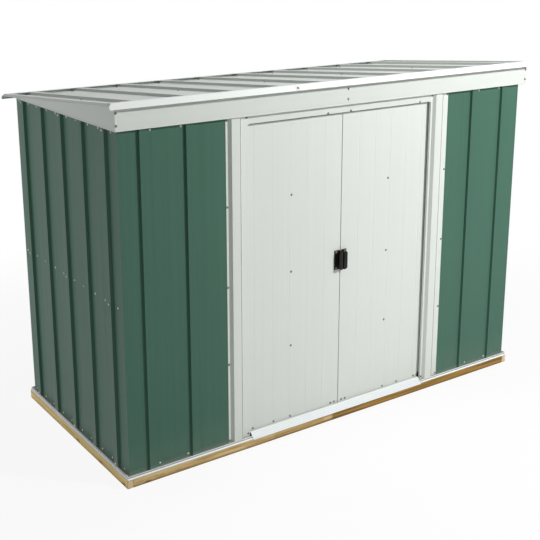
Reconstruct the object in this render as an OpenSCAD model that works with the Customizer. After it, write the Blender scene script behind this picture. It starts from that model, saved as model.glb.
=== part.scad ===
// Metal tool shed with a pent roof, two sliding doors and a timber base.
// Units are millimetres. X runs along the front, Y from front to rear, Z up.
// The origin is on the floor, under the middle of the roof's outline.

/* [Walls] */
// Width over the flats of the two side walls
shed_width = 2400; // [1800:10:3000]
// Depth over the flats of the front and rear walls
shed_depth = 1100; // [900:10:1600]
// Height of the wall panels above the floor rails
wall_height = 1565; // [1300:5:2000]
// Thickness of the steel sheet
sheet = 1.2; // [0.8:0.1:2]
// How far a wall rib stands out from the flats
rib_height = 12; // [8:0.5:16]
// Width of a wall rib at its foot
rib_base = 46; // [36:1:60]
// Width of a wall rib at its face
rib_face = 38; // [26:1:50]
// Distance between wall ribs
rib_pitch = 223.5; // [180:0.5:240]
// Distance from a front corner to the first rib
rib_first = 116; // [80:1:130]
// Height of the brace in the middle of the side and rear walls
brace_level = 780; // [600:10:900]
// Height of a wall brace
brace_height = 44; // [34:1:60]
// Depth of a wall brace
brace_depth = 18; // [12:1:26]
// Width of a wall brace's flanges
brace_flange = 14; // [10:1:18]
// Distance from the corners to the ends of braces and rear channel
brace_end = 30; // [24:1:60]
// Distance from the rail ends to the flanges behind the walls
upstand_end = 12; // [8:1:30]

/* [Base] */
// Height of the timber frame
base_height = 44; // [36:1:60]
// Thickness of the timbers in the frame
timber_width = 28; // [22:1:40]
// Timber beyond the side walls
base_side_lap = 21; // [18:1:30]
// Timber in front of the front wall
base_front_lap = 15; // [14:1:24]
// Timber behind the rear wall
base_rear_lap = 15; // [14:1:24]
// Thickness of the floor boards
deck_thickness = 16; // [12:1:22]
// Width of a floor joist
joist_width = 34; // [28:1:45]
// Number of floor joists
joist_count = 4; // [3:1:6]

/* [Floor rails] */
// Height of the floor rails
rail_height = 14; // [10:1:20]
// Ledge of a rail in front of the wall flats
rail_ledge = 13; // [13:0.5:18]
// Lower flange of a rail in front of the wall flats
rail_flange = 19; // [18:0.5:24]
// Height of the rail flange behind the walls
rail_upstand = 26; // [15:1:40]
// Depth of the front rail's floor plate behind the wall
rail_plate = 60; // [50:1:80]
// Height of the groove that guides the doors
groove_height = 8.8; // [6:0.2:10]
// Gap between the threshold and the doors
ramp_door_gap = 6; // [5:0.5:9]
// Rise from the doors' lower edge to the top of the threshold
ramp_rise = 6; // [2:0.5:9]
// Lip of the threshold that hangs in front of the rail's flange
ramp_lip = 4; // [2:0.5:7]
// Gap between that lip and the flange
ramp_lip_gap = 0.5; // [0.3:0.1:1.5]
// Sheet of the threshold
ramp_wall = 2; // [1.5:0.1:3]
// Flat top of the threshold
ramp_flat = 10; // [6:0.5:16]
// Gap at each end of the threshold
ramp_end = 8; // [5:0.5:20]

/* [Doorway] */
// Width between the left edge and the middle of the doorway
opening_half = 556; // [480:1:620]
// Narrow flange of a jamb
jamb_narrow = 11; // [8:1:16]
// Width of the raised face of a jamb
jamb_channel = 47; // [30:1:55]
// Run of the slopes beside that face
jamb_slope = 12; // [6:0.5:14]
// Wide flange of a jamb
jamb_wide = 37; // [30:1:60]
// How far a jamb stands out from the wall flats
jamb_depth = 16; // [8:0.5:18]
// Depth of the edge that turns in beside the doors
jamb_return = 11; // [8:0.5:13]
// Height of the header over the doors
header_height = 42; // [36:1:60]
// Depth of the header's lower lip
header_lip = 10; // [6:0.5:13]

/* [Doors] */
// Distance from the wall flats to the face of the doors
door_set = 19; // [18:0.5:24]
// Gap between the two doors where they meet
door_gap = 5; // [5:0.5:10]
// Lap of a door behind the jamb
door_lap = 60; // [30:1:80]
// Depth of the turned edges of a door
door_edge = 17; // [14:0.5:20]
// Gap under a door leaf, above the rail's top
door_floor_gap = 8; // [5:0.5:15]
// Gap between a door leaf and its track
door_track_gap = 6; // [5:0.5:12]
// Height of a door brace
door_brace_height = 40; // [30:1:60]
// Depth of a door brace
door_brace_depth = 14; // [10:0.5:14]
// Spacing of the three middle door braces
door_brace_pitch = 379.5; // [300:0.5:420]
// Running clearance of the plastic slides and guides
run_clear = 0.5; // [0.3:0.1:1]
// Distance from a door's meeting edge to its first fine crease
crease_first = 104.5; // [80:0.5:120]
// Distance between the fine creases of a door
crease_pitch = 102; // [80:1:120]
// Width of a crease
crease_width = 5; // [3:0.5:8]
// Depth of a crease
crease_depth = 0.7; // [0.3:0.1:0.8]
// Distance from a door's edges to the ends of its bottom brace
bottom_brace_end = 70; // [60:1:120]
// Width of the plastic slides and guides
slide_width = 40; // [24:1:50]
// Distance from a door's turned edges to its slides and guides
slide_inset = 14; // [8:1:25]
// Height of the tabs that fix the slides and guides
tab_height = 44; // [30:1:60]
// Thickness of those tabs
tab_thickness = 4; // [3:0.5:5]
// Height of the solid part beside a tab
tab_block = 14; // [10:1:20]
// Distance from the doors' face to the middle of the track and groove
lane_set = 10; // [9:0.5:14]
// Half the width of the door track
track_half = 13.2; // [11:0.2:16]
// Height of the door track
track_height = 24; // [20:0.5:32]
// Half the width of the slot under the track
slot_half = 4.5; // [3.5:0.1:6]
// Height of a slide inside the track
slide_head = 11; // [8:0.5:14]
// Half the thickness of a bottom guide
guide_half = 4.2; // [3:0.1:6]
// Distance from the side walls to the ends of the track
track_end = 40; // [30:1:60]
// Room behind the track on the fascia's lower flange
track_margin = 4; // [2:0.5:10]

/* [Handles] */
// Height of a handle plate
handle_height = 100; // [80:1:130]
// Width of a handle plate
handle_width = 34; // [26:1:36]
// Thickness of a handle plate
handle_plate = 2.5; // [2:0.2:4]
// Gap from a door's meeting edge to its handle
handle_inset = 1.5; // [1:0.5:6]
// How far a grip stands out from the door
grip_depth = 29; // [22:1:34]
// Width of a grip
grip_width = 21; // [16:1:26]
// Height of a grip
grip_height = 92; // [70:1:100]
// Thickness of a grip
grip_thickness = 3; // [2.4:0.2:4]
// Cut corners of a grip
grip_corner = 7; // [3:0.5:10]
// Height of the middle of the handles above the rails
handle_level = 786; // [650:1:900]

/* [Roof] */
// Fall of the roof from the front wall to the rear wall
roof_fall = 101; // [60:1:160]
// Gap from the top of the rear wall to the roof sheet
eave_gap = 3; // [3:0.5:10]
// Roof in front of the front wall
over_front = 73; // [55:1:90]
// Roof behind the rear wall
over_rear = 45; // [40:1:80]
// Roof beyond the flats of the side walls
over_side = 60; // [52:1:80]
// Slant of the roof's outer edges
edge_slant = 12.5; // [6:0.5:16]
// Height of the roof trims
trim_height = 25.5; // [20:0.5:32]
// Depth of the top flange of the roof trims
trim_flange = 36; // [24:1:50]
// Distance between roof ribs
roof_pitch = 247; // [230:0.5:252]
// Height of a roof rib
roof_rib = 12; // [8:0.5:14]
// Width of a roof rib at its foot
roof_rib_base = 46; // [36:1:60]
// Width of a roof rib at its face
roof_rib_face = 32; // [22:1:44]
// How far the fascia stands in front of the wall flats
fascia_set = 30; // [26:1:38]
// How far the gables stand beyond the side wall flats
gable_set = 22; // [16:1:28]
// Room inside the trims for the ends of the roof sheets
trim_room = 4; // [3:0.5:8]
// Lip under the roof trims
trim_lip = 9; // [6:0.5:14]
// Joint of the front trim, from the middle
trim_joint = -340; // [-600:10:600]
// Ribs of the middle roof sheet on each side of the middle
centre_ribs = 2; // [1:1:3]
// Width of the flat top along the roof's side edges
edge_width = 32; // [24:1:40]
// Run of the inner slope beside that flat top
edge_rise = 5; // [3:0.5:8]
// Drop of the outer slope beside that flat top
edge_drop = 10; // [6:0.5:13]
// Width of the gables' lower flange
gable_foot = 40; // [34:1:60]
// Width of the gables' upper flange
gable_flange = 34; // [28:1:50]
// Depth of the roof's seat on the fascia
fascia_seat = 20; // [14:1:40]
// Depth of the roof's seat on the rear wall
rear_seat = 30; // [20:1:50]
// Leg of the rear channel behind the wall
rear_leg = 40; // [25:1:60]
// Gap under the roof sheets and trims where they rest
roof_rest = 0.05; // [0.02:0.01:0.2]
// Width of the roof beam
beam_width = 40; // [30:1:60]
// Height of the roof beam
beam_height = 45; // [30:1:52]

/* [Hidden] */
white = [0.86, 0.88, 0.86];
green = [0.16, 0.30, 0.24];
zinc = [0.62, 0.65, 0.66];
wood = [0.68, 0.53, 0.32];
board = [0.72, 0.60, 0.42];
black = [0.06, 0.06, 0.06];

// Plan positions
half_w = shed_width / 2;
y_front = (over_front - over_rear - shed_depth) / 2;
y_rear = y_front + shed_depth;
base_x = half_w + base_side_lap;
base_y0 = y_front - base_front_lap;
base_y1 = y_rear + base_rear_lap;

// Levels
z_rail = base_height + rail_height;
z_top = z_rail + wall_height;
z_plate = base_height + sheet;

// Roof plane: underside of the flats
roof_angle = atan(roof_fall / shed_depth);
z_roof = z_top + eave_gap + roof_fall;
function zu(y) = z_roof - (y - y_front) * roof_fall / shed_depth;
rib_rise = (roof_rib + sheet) / cos(roof_angle);
function zr(y) = zu(y) + rib_rise + 2 * roof_rest;

// Doorway
jamb_width = jamb_narrow + 2 * jamb_slope + jamb_channel + jamb_wide;
left_x0 = -opening_half - jamb_width;
right_x0 = opening_half;
right_x1 = right_x0 + jamb_width;
wall_left_end = left_x0 + jamb_narrow + jamb_channel / 2;
wall_right_end = right_x1 - jamb_wide * 3 / 4;
door_out = opening_half + door_lap;
door_in = door_gap / 2;
door_face = y_front + door_set;
door_back = door_face + sheet;
door_z0 = z_rail + door_floor_gap;
lane = door_face + lane_set;

// Door track and slides
track_z0 = z_top - track_height;
slide_half = track_half - sheet - run_clear * 2;
door_z1 = track_z0 - door_track_gap;
groove_half = guide_half + run_clear;
guide_low = z_plate + run_clear * 2;
handle_z0 = z_rail + handle_level - handle_height / 2;
flange_depth = lane - y_front + track_half + track_margin;
crease_last = door_out - crease_width;

// Roof lines
roof_y0 = -over_front + edge_slant + trim_room;
roof_y1 = shed_depth + over_rear - edge_slant - trim_room;
edge_top = half_w + over_side - edge_slant;
edge_foot = edge_top - edge_width;
roof_side_ribs = floor((edge_foot - roof_rib_base) / roof_pitch + 0.5);
roof_joint = roof_pitch * (min(centre_ribs, roof_side_ribs) - 0.5) + roof_rib_base / 2 + trim_room;
roof_ribs = [for (i = [-roof_side_ribs : roof_side_ribs - 1]) (i + 0.5) * roof_pitch];
edge_low = roof_rib + sheet - edge_drop;
rear_back = y_rear + rib_height + 2 * sheet;

// How far a cut runs past the piece it cuts
cut_over = 1;

// A box given by its low and high corners
module block(lo, hi) {
    translate(lo)
        cube(hi - lo);
}

// A shape drawn in Y and Z, run along X
module along_x(x0, x1) {
    translate([x0, 0, 0])
        rotate([90, 0, 90])
            linear_extrude(height = x1 - x0)
                children();
}

// Outline of a ribbed sheet; the ribs stand towards negative y
function rib_out(c, b, f, h) = [[c - b / 2, 0], [c - f / 2, -h], [c + f / 2, -h], [c + b / 2, 0]];
function rib_in(c, b, f, h) = [[c + b / 2 - sheet, sheet], [c + f / 2 - sheet, sheet - h],
    [c - f / 2 + sheet, sheet - h], [c - b / 2 + sheet, sheet]];
function flip(v) = [for (i = [len(v) - 1 : -1 : 0]) v[i]];
function ribbed(x0, x1, ribs, b, f, h) = concat([[x0, 0]],
    [for (c = ribs) each rib_out(c, b, f, h)], [[x1, 0], [x1, sheet]],
    [for (c = flip(ribs)) each rib_in(c, b, f, h)], [[x0, sheet]]);

// A wall sheet with its outer flats on y = 0 and its ribs towards negative y
module wall_sheet(x0, x1, ribs) {
    translate([0, 0, z_rail])
        linear_extrude(height = wall_height)
            polygon(ribbed(x0, x1, ribs, rib_base, rib_face, rib_height));
}

// Rib positions counted from a corner, kept clear of the panel's end
function ribs_from(start, run) = [for (i = [0 : floor((run - rib_first - rib_base) / rib_pitch)])
    start + rib_first + i * rib_pitch];
rear_count = floor((shed_width - rib_first) / rib_pitch) + 1;
rear_first = -(rear_count - 1) * rib_pitch / 2;
rear_ribs = [for (i = [0 : rear_count - 1]) rear_first + i * rib_pitch];
rear_cut = rear_first + (floor(rear_count / 3) - 0.5) * rib_pitch;

// Cross-section of a floor rail; u is outwards from the wall flats, v is up
module rail_hat() {
    polygon([[rail_flange, base_height], [rail_flange, z_plate], [rail_ledge, z_plate],
        [rail_ledge, z_rail], [-2 * sheet, z_rail], [-2 * sheet, base_height],
        [-sheet, base_height], [-sheet, z_rail - sheet], [rail_ledge - sheet, z_rail - sheet],
        [rail_ledge - sheet, base_height]]);
}

// Timber base
module side_timber() {
    block([base_x - timber_width, base_y0, 0], [base_x, base_y1, base_height]);
}

module base_side_timber_left() {
    color(wood)
        mirror([1, 0, 0])
            side_timber();
}

module base_side_timber_right() {
    color(wood)
        side_timber();
}

module base_front_timber() {
    color(wood)
        block([timber_width - base_x, base_y0, 0],
            [base_x - timber_width, base_y0 + timber_width, base_height]);
}

module base_rear_timber() {
    color(wood)
        block([timber_width - base_x, base_y1 - timber_width, 0],
            [base_x - timber_width, base_y1, base_height]);
}

module base_joists() {
    gap = 2 * (base_x - timber_width) / (joist_count + 1);
    color(wood)
        for (i = [1 : joist_count])
            translate([timber_width - base_x + i * gap, 0, 0])
                block([-joist_width / 2, base_y0 + timber_width, 0],
                    [joist_width / 2, base_y1 - timber_width, base_height - deck_thickness]);
}

module floor_deck() {
    color(board)
        block([timber_width - base_x, base_y0 + timber_width, base_height - deck_thickness],
            [base_x - timber_width, base_y1 - timber_width, base_height]);
}

// Floor rails
module rail_end() {
    difference() {
        block([half_w, y_front - rail_flange, base_height],
            [half_w + rail_flange, y_front + 2 * sheet, z_plate]);
        block([half_w - cut_over, y_front - rail_ledge + sheet, base_height - cut_over],
            [half_w + rail_ledge - sheet, y_front + 2 * sheet + cut_over, z_plate + cut_over]);
    }
    block([half_w, y_front - rail_ledge, z_rail - sheet],
        [half_w + rail_ledge, y_front + 2 * sheet, z_rail]);
    block([half_w, y_front - rail_ledge, base_height],
        [half_w + rail_ledge, y_front - rail_ledge + sheet, z_rail]);
    block([half_w + rail_ledge - sheet, y_front - rail_ledge, base_height],
        [half_w + rail_ledge, y_front + 2 * sheet, z_rail]);
}

module rail_run(x0, x1) {
    translate([0, y_front, 0])
        along_x(x0, x1)
            mirror([1, 0, 0])
                rail_hat();
}

module rail_upstand_run(x0, x1) {
    block([x0, y_front + sheet, z_rail - sheet], [x1, y_front + 2 * sheet, z_rail + rail_upstand]);
}

module floor_rail_front() {
    inner = half_w - upstand_end;
    color(zinc)
        union() {
            rail_run(-half_w, -opening_half);
            rail_run(opening_half, half_w);
            rail_end();
            mirror([1, 0, 0])
                rail_end();
            rail_upstand_run(-inner, wall_left_end);
            rail_upstand_run(wall_right_end, inner);
            block([-inner, y_front - rail_flange, base_height], [inner, y_front + rail_plate, z_plate]);
            for (s = [-1, 1])
                translate([0, lane + s * (groove_half + sheet / 2), 0])
                    block([-inner, -sheet / 2, base_height], [inner, sheet / 2, z_plate + groove_height]);
        }
}

module floor_rail_rear() {
    inner = half_w - upstand_end;
    color(zinc)
        translate([0, y_front + y_rear, 0])
            mirror([0, 1, 0])
                union() {
                    rail_run(-half_w, half_w);
                    rail_end();
                    mirror([1, 0, 0])
                        rail_end();
                    rail_upstand_run(-inner, inner);
                }
}

module side_rail() {
    y0 = y_front + 2 * sheet;
    y1 = y_rear - 2 * sheet;
    union() {
        translate([half_w, y1, 0])
            rotate([90, 0, 0])
                linear_extrude(height = y1 - y0)
                    rail_hat();
        block([half_w - 2 * sheet, y_front + rail_plate + upstand_end, z_rail - sheet],
            [half_w - sheet, y1 - upstand_end, z_rail + rail_upstand]);
    }
}

module floor_rail_left() {
    color(zinc)
        mirror([1, 0, 0])
            side_rail();
}

module floor_rail_right() {
    color(zinc)
        side_rail();
}

// Sloped threshold in front of the doors
module threshold_ramp() {
    back = door_set - ramp_door_gap;
    top = door_z0 + ramp_rise;
    low = z_plate;
    wall = ramp_wall;
    lip = -rail_flange - ramp_lip_gap;
    color(white)
        translate([0, y_front, 0])
            along_x(-opening_half + ramp_end, opening_half - ramp_end)
                polygon([[lip - wall, low - ramp_lip], [lip - wall, low + wall], [back - ramp_flat, top],
                    [back, top], [back, low], [back - wall, low], [back - wall, top - wall],
                    [back - ramp_flat, top - wall], [lip + 2 * wall, low], [lip, low],
                    [lip, low - ramp_lip]]);
}

// Walls
module front_wall_left() {
    color(green)
        translate([0, y_front, 0])
            wall_sheet(-half_w, wall_left_end, ribs_from(-half_w, half_w + left_x0));
}

module front_wall_right() {
    color(green)
        translate([0, y_front, 0])
            mirror([1, 0, 0])
                wall_sheet(-half_w, -wall_right_end, ribs_from(-half_w, half_w - right_x1));
}

module side_wall() {
    translate([half_w, y_front, 0])
        rotate([0, 0, 90])
            wall_sheet(sheet, shed_depth - sheet, ribs_from(0, shed_depth));
}

module left_wall() {
    color(green)
        mirror([1, 0, 0])
            side_wall();
}

module right_wall() {
    color(green)
        side_wall();
}

module rear_panel(x0, x1) {
    color(green)
        translate([0, y_rear, 0])
            mirror([0, 1, 0])
                wall_sheet(x0, x1, [for (c = rear_ribs) if (c > x0 && c < x1) c]);
}

module rear_wall_left() {
    rear_panel(-half_w, rear_cut);
}

module rear_wall_centre() {
    rear_panel(rear_cut, -rear_cut);
}

module rear_wall_right() {
    rear_panel(-rear_cut, half_w);
}

// Braces inside the walls: v is height, u is inwards from the wall's inner face
module brace_section() {
    h = brace_height;
    d = brace_depth;
    f = brace_flange;
    polygon([[0, 0], [0, f], [sheet, f], [sheet, sheet], [d - sheet, sheet], [d - sheet, h - sheet],
        [sheet, h - sheet], [sheet, h - f], [0, h - f], [0, h], [d, h], [d, 0]]);
}

module side_brace() {
    y0 = y_front + rail_plate + upstand_end;
    y1 = y_rear - brace_end;
    translate([half_w - sheet, y1, z_rail + brace_level - brace_height / 2])
        rotate([90, 0, 0])
            linear_extrude(height = y1 - y0)
                mirror([1, 0, 0])
                    brace_section();
}

module mid_brace_left() {
    color(zinc)
        mirror([1, 0, 0])
            side_brace();
}

module mid_brace_right() {
    color(zinc)
        side_brace();
}

module mid_brace_rear() {
    color(zinc)
        translate([0, y_rear - sheet, z_rail + brace_level - brace_height / 2])
            along_x(-half_w + brace_end, half_w - brace_end)
                mirror([1, 0, 0])
                    brace_section();
}

// Channel on the rear wall that carries the roof
module rear_top_channel() {
    y0 = y_rear - rear_seat;
    y1 = rear_back;
    end = half_w - brace_end;
    color(zinc)
        union() {
            along_x(-half_w - gable_set + sheet, half_w + gable_set - sheet)
                polygon([[y0, z_top], [y1, z_top], [y1, zu(y1)], [y0, zu(y0)]]);
            block([-end, y_rear - 2 * sheet, z_top - rear_leg], [end, y_rear - sheet, z_top + sheet]);
        }
}

// Door frame
module jamb_plan(x0, left_return, right_return) {
    x1 = x0 + jamb_narrow;
    x2 = x1 + jamb_slope;
    x3 = x2 + jamb_channel;
    x4 = x3 + jamb_slope;
    x5 = x4 + jamb_wide;
    d = jamb_depth;
    bend = sheet / 2;
    polygon(concat(
        left_return ? [[x0 + sheet, 0], [x0 + sheet, jamb_return], [x0, jamb_return]] : [[x0, 0]],
        [[x0, -sheet], [x1, -sheet], [x2, -d], [x3, -d], [x4, -sheet], [x5, -sheet]],
        right_return ? [[x5, jamb_return], [x5 - sheet, jamb_return], [x5 - sheet, 0]] : [[x5, 0]],
        [[x4 - bend, 0], [x3 - bend, sheet - d], [x2 + bend, sheet - d], [x1 + bend, 0]]));
}

module jamb(x0, left_return, right_return) {
    translate([0, y_front, z_rail])
        linear_extrude(height = wall_height)
            jamb_plan(x0, left_return, right_return);
}

module door_jamb_left() {
    color(white)
        jamb(left_x0, false, true);
}

module door_jamb_right() {
    color(white)
        jamb(right_x0, true, false);
}

module door_header() {
    z0 = z_top - header_height;
    color(white)
        translate([0, y_front, 0])
            along_x(-opening_half, opening_half)
                polygon([[-sheet, z0], [header_lip, z0], [header_lip, z0 + sheet], [0, z0 + sheet],
                    [0, z_top], [-sheet, z_top]]);
}

module door_track() {
    z0 = track_z0;
    o = track_half;
    i = track_half - sheet;
    color(zinc)
        translate([0, lane, 0])
            along_x(-half_w + track_end, half_w - track_end)
                polygon([[-o, z0], [-slot_half, z0], [-slot_half, z0 + sheet], [-i, z0 + sheet],
                    [-i, z_top - sheet], [i, z_top - sheet], [i, z0 + sheet], [slot_half, z0 + sheet],
                    [slot_half, z0], [o, z0], [o, z_top], [-o, z_top]]);
}

// Fascia over the front wall
module fascia(x0, x1) {
    f = y_front - fascia_set;
    b = y_front + flange_depth;
    t = y_front + fascia_seat;
    color(white)
        along_x(x0, x1)
            polygon([[f, z_top], [b, z_top], [b, z_top + sheet], [f + sheet, z_top + sheet],
                [f + sheet, zu(f + sheet) - sheet], [t, zu(t) - sheet], [t, zu(t)], [f, zu(f)]]);
}

module fascia_left() {
    fascia(-half_w - gable_set + sheet, 0);
}

module fascia_right() {
    fascia(0, half_w + gable_set - sheet);
}

// Tapered gable over a side wall
module gable() {
    f = y_front - fascia_set;
    b = rear_back;
    s = y_front + flange_depth;
    e = y_rear - rear_seat;
    t = y_front + fascia_seat;
    outer = half_w + gable_set;
    union() {
        along_x(outer - sheet, outer)
            polygon([[f, z_top], [b, z_top], [b, zu(b)], [f, zu(f)]]);
        along_x(outer - gable_foot, outer - sheet / 2)
            polygon([[s, z_top], [e, z_top], [e, z_top + sheet], [s, z_top + sheet]]);
        along_x(outer - gable_flange, outer - sheet / 2)
            polygon([[t, zu(t) - sheet], [e, zu(e) - sheet], [e, zu(e)], [t, zu(t)]]);
    }
}

module gable_left() {
    color(white)
        mirror([1, 0, 0])
            gable();
}

module gable_right() {
    color(white)
        gable();
}

// Roof
module on_roof() {
    translate([0, y_front, z_roof + roof_rest])
        rotate([-roof_angle, 0, 0])
            children();
}

// A roof sheet drawn in X and height above the flats' underside, run down the slope
module roof_run() {
    y0 = roof_y0 / cos(roof_angle);
    y1 = roof_y1 / cos(roof_angle);
    on_roof()
        translate([0, y1, 0])
            rotate([90, 0, 0])
                linear_extrude(height = y1 - y0)
                    children();
}

function up(v) = [for (p = v) [p[0], sheet - p[1]]];

module roof_panel_centre() {
    color(white)
        roof_run()
            polygon(up(ribbed(-roof_joint, roof_joint, [for (c = roof_ribs) if (abs(c) < roof_joint) c],
                roof_rib_base, roof_rib_face, roof_rib)));
}

module roof_side_panel() {
    ribs = [for (c = roof_ribs) if (c > roof_joint) c];
    outer = half_w + over_side;
    top = sheet + roof_rib;
    roof_run()
        polygon(concat([[roof_joint, sheet]],
            [for (c = ribs) each up(rib_out(c, roof_rib_base, roof_rib_face, roof_rib))],
            [[edge_foot, sheet], [edge_foot + edge_rise, top], [edge_top, top], [outer, edge_low],
                [outer - sheet, edge_low], [edge_top - sheet, top - sheet],
                [edge_foot + edge_rise + sheet, top - sheet], [edge_foot + sheet, 0]],
            [for (c = flip(ribs)) each up(rib_in(c, roof_rib_base, roof_rib_face, roof_rib))],
            [[roof_joint, 0]]));
}

module roof_panel_left() {
    color(white)
        mirror([1, 0, 0])
            roof_side_panel();
}

module roof_panel_right() {
    color(white)
        roof_side_panel();
}

// Trim over the edge of the sheets: dir points from the tip back over the roof
module trim_section(tip, dir) {
    top = tip + dir * edge_slant;
    back = top + dir * trim_flange;
    lip = tip + dir * trim_lip;
    low = zr(top) + sheet - trim_height;
    inner = top + dir * sheet;
    polygon([[tip, low], [lip, low], [lip, low + sheet], [tip + dir * 2 * sheet, low + sheet],
        [inner, zr(inner)], [back, zr(back)], [back, zr(back) + sheet], [top, zr(top) + sheet]]);
}

module trim_ends() {
    outer = half_w + over_side;
    edge = rib_rise + sheet;
    far = 2 * trim_height;
    on_roof()
        translate([0, 2 * shed_depth, 0])
            rotate([90, 0, 0])
                linear_extrude(height = 3 * shed_depth)
                    polygon([[-outer, -far], [outer, -far], [outer, edge_low], [edge_top, edge],
                        [edge_top, far], [-edge_top, far], [-edge_top, edge], [-outer, edge_low]]);
}

module front_trim(x0, x1) {
    color(white)
        intersection() {
            along_x(x0, x1)
                trim_section(y_front - over_front, 1);
            trim_ends();
        }
}

module roof_front_trim_left() {
    front_trim(-half_w - over_side, trim_joint);
}

module roof_front_trim_right() {
    front_trim(trim_joint, half_w + over_side);
}

module roof_rear_trim() {
    color(white)
        intersection() {
            along_x(-half_w - over_side, half_w + over_side)
                trim_section(y_rear + over_rear, -1);
            trim_ends();
        }
}

// Beam under the middle of the roof
module roof_beam() {
    y0 = y_front + shed_depth / 2 - beam_width / 2;
    y1 = y0 + beam_width;
    low = zu(y1) - beam_height;
    wall = half_w + gable_set - sheet;
    seat = half_w + gable_set - gable_flange - roof_rest;
    under = sheet + roof_rest;
    color(zinc)
        union() {
            along_x(-wall, wall)
                polygon([[y0, low], [y0, zu(y0) - under], [y1, zu(y1) - under], [y1, low], [y1 - sheet, low],
                    [y1 - sheet, zu(y1) - 2 * sheet], [y0 + sheet, zu(y0) - 2 * sheet], [y0 + sheet, low]]);
            along_x(-seat, seat)
                polygon([[y0, zu(y0) - 2 * sheet], [y0, zu(y0)], [y1, zu(y1)], [y1, zu(y1) - 2 * sheet]]);
        }
}

// Doors, drawn for the right-hand side
creases = [for (x = [door_in + crease_first : crease_pitch : crease_last]) x];

// Plan of a leaf: a sheet with fine creases in its face and both edges turned back
module leaf_plan() {
    w = crease_width / 2;
    back = door_back + door_edge;
    polygon(concat([[door_in, door_face]],
        [for (c = creases) each [[c - w, door_face], [c, door_face + crease_depth], [c + w, door_face]]],
        [[door_out, door_face], [door_out, back], [door_out - sheet, back], [door_out - sheet, door_back],
            [door_in + sheet, door_back], [door_in + sheet, back], [door_in, back]]));
}

module door_leaf() {
    translate([0, 0, door_z0])
        linear_extrude(height = door_z1 - door_z0)
            leaf_plan();
}

module door_brace(z, x0, x1) {
    h = door_brace_height;
    d = door_brace_depth;
    translate([0, door_back, z - h / 2])
        along_x(x0, x1)
            polygon([[0, 0], [d, 0], [d, h], [0, h], [0, h - sheet], [d - sheet, h - sheet],
                [d - sheet, sheet], [0, sheet]]);
}

module door_braces() {
    x0 = door_in + sheet;
    x1 = door_out - sheet;
    end = bottom_brace_end;
    for (i = [-1, 0, 1])
        door_brace(z_rail + brace_level + i * door_brace_pitch, x0, x1);
    door_brace(door_z0 + door_brace_height / 2, x0 + end, x1 - end);
    door_brace(door_z1 - tab_height - door_brace_height / 2 - tab_thickness, x0, x1);
}

// A handle: plate against the leaf, a web that stands out along the meeting edge and a grip turned
// back from it
module door_handle() {
    low = (handle_height - grip_height) / 2;
    high = low + grip_height;
    c = grip_corner;
    translate([door_in + handle_inset, door_face, handle_z0])
        union() {
            block([0, -handle_plate, 0], [handle_width, 0, handle_height]);
            block([0, -grip_depth, low], [grip_thickness, 0, high]);
            translate([0, grip_thickness - grip_depth, 0])
                rotate([90, 0, 0])
                    linear_extrude(height = grip_thickness)
                        polygon([[0, low], [grip_width - c, low], [grip_width, low + c],
                            [grip_width, high - c], [grip_width - c, high], [0, high]]);
        }
}

module slide() {
    w = slide_width;
    union() {
        block([0, door_back, door_z1 - tab_height], [w, door_back + tab_thickness, door_z1]);
        block([0, door_back, door_z1 - tab_block], [w, lane + slot_half - run_clear, door_z1]);
        block([0, lane - slot_half + run_clear, door_z1 - tab_block],
            [w, lane + slot_half - run_clear, track_z0 + sheet + run_clear + slide_head]);
        block([0, lane - slide_half, track_z0 + sheet + run_clear],
            [w, lane + slide_half, track_z0 + sheet + run_clear + slide_head]);
    }
}

module guide() {
    w = slide_width;
    union() {
        block([0, door_back, door_z0], [w, door_back + tab_thickness, door_z0 + tab_height]);
        block([0, door_back, door_z0], [w, lane + guide_half, door_z0 + tab_block]);
        block([0, lane - guide_half, guide_low], [w, lane + guide_half, door_z0 + tab_block]);
    }
}

module door_runners() {
    x0 = door_in + sheet + slide_inset;
    x1 = door_out - sheet - slide_inset - slide_width;
    for (x = [x0, x1]) {
        translate([x, 0, 0])
            slide();
        translate([x, 0, 0])
            guide();
    }
}

module left_door_leaf() {
    color(white)
        mirror([1, 0, 0])
            door_leaf();
}

module left_door_braces() {
    color(zinc)
        mirror([1, 0, 0])
            door_braces();
}

module left_door_handle() {
    color(black)
        mirror([1, 0, 0])
            door_handle();
}

module left_door_runners() {
    color(black)
        mirror([1, 0, 0])
            door_runners();
}

module right_door_leaf() {
    color(white)
        door_leaf();
}

module right_door_braces() {
    color(zinc)
        door_braces();
}

module right_door_handle() {
    color(black)
        door_handle();
}

module right_door_runners() {
    color(black)
        door_runners();
}

base_side_timber_left();
base_side_timber_right();
base_front_timber();
base_rear_timber();
base_joists();
floor_deck();
floor_rail_front();
floor_rail_rear();
floor_rail_left();
floor_rail_right();
threshold_ramp();
front_wall_left();
front_wall_right();
left_wall();
right_wall();
rear_wall_left();
rear_wall_centre();
rear_wall_right();
mid_brace_left();
mid_brace_right();
mid_brace_rear();
rear_top_channel();
door_jamb_left();
door_jamb_right();
door_header();
door_track();
fascia_left();
fascia_right();
gable_left();
gable_right();
roof_panel_left();
roof_panel_centre();
roof_panel_right();
roof_front_trim_left();
roof_front_trim_right();
roof_rear_trim();
roof_beam();
left_door_leaf();
left_door_braces();
left_door_handle();
left_door_runners();
right_door_leaf();
right_door_braces();
right_door_handle();
right_door_runners();
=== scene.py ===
import math
import random

import bmesh
import bpy
from mathutils import Matrix, Vector


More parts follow.
